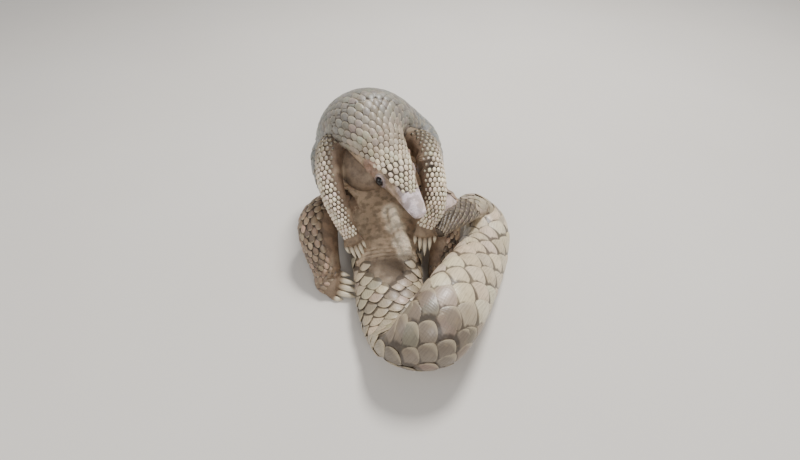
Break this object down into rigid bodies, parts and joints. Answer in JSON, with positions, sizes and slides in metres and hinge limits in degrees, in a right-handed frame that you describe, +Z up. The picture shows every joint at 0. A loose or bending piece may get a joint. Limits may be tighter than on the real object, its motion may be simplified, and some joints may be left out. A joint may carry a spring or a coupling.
{
  "type": "pangolin, life-size still model",
  "caption": "Life-size still model of a Sunda pangolin sitting hunched, head bent to its lap, tail curled forward and round.",
  "frame": {"origin": "on the floor, on the flat of the seat under the rump, where the tail's root begins", "axes": "+Z up, the animal faces -Y, its left side is towards +X"},
  "size_m": [0.3074, 0.3711, 0.2112],
  "materials": {
    "scales": "semi-gloss, striated, worn pale at the rims",
    "skin": "matt, finely wrinkled",
    "claw": "satin",
    "eye": "glossy, wet"
  },
  "bodies": {
    "root": {"claw_forefoot_left_1": "claw", "claw_forefoot_left_2": "claw", "claw_forefoot_left_3": "claw", "claw_forefoot_left_4": "claw", "claw_forefoot_left_5": "claw", "claw_forefoot_right_1": "claw", "claw_forefoot_right_2": "claw", "claw_forefoot_right_3": "claw", "claw_forefoot_right_4": "claw", "claw_forefoot_right_5": "claw", "claw_hindfoot_left_1": "claw", "claw_hindfoot_left_2": "claw", "claw_hindfoot_left_3": "claw", "claw_hindfoot_left_4": "claw", "claw_hindfoot_left_5": "claw", "claw_hindfoot_right_1": "claw", "claw_hindfoot_right_2": "claw", "claw_hindfoot_right_3": "claw", "claw_hindfoot_right_4": "claw", "claw_hindfoot_right_5": "claw", "ear_left": "skin", "ear_right": "skin", "eye_left": "eye", "eye_right": "eye", "forefoot_left": "scales", "forefoot_right": "scales", "foreleg_left": "scales", "foreleg_right": "scales", "head": "scales", "hindfoot_left": "scales", "hindfoot_right": "scales", "hindleg_left": "scales", "hindleg_right": "scales", "neck": "scales", "tail_bend": "scales", "tail_curl": "scales", "tail_middle": "scales", "tail_root": "scales", "tail_tip": "scales", "torso": "scales"}
  },
  "joints": []
}
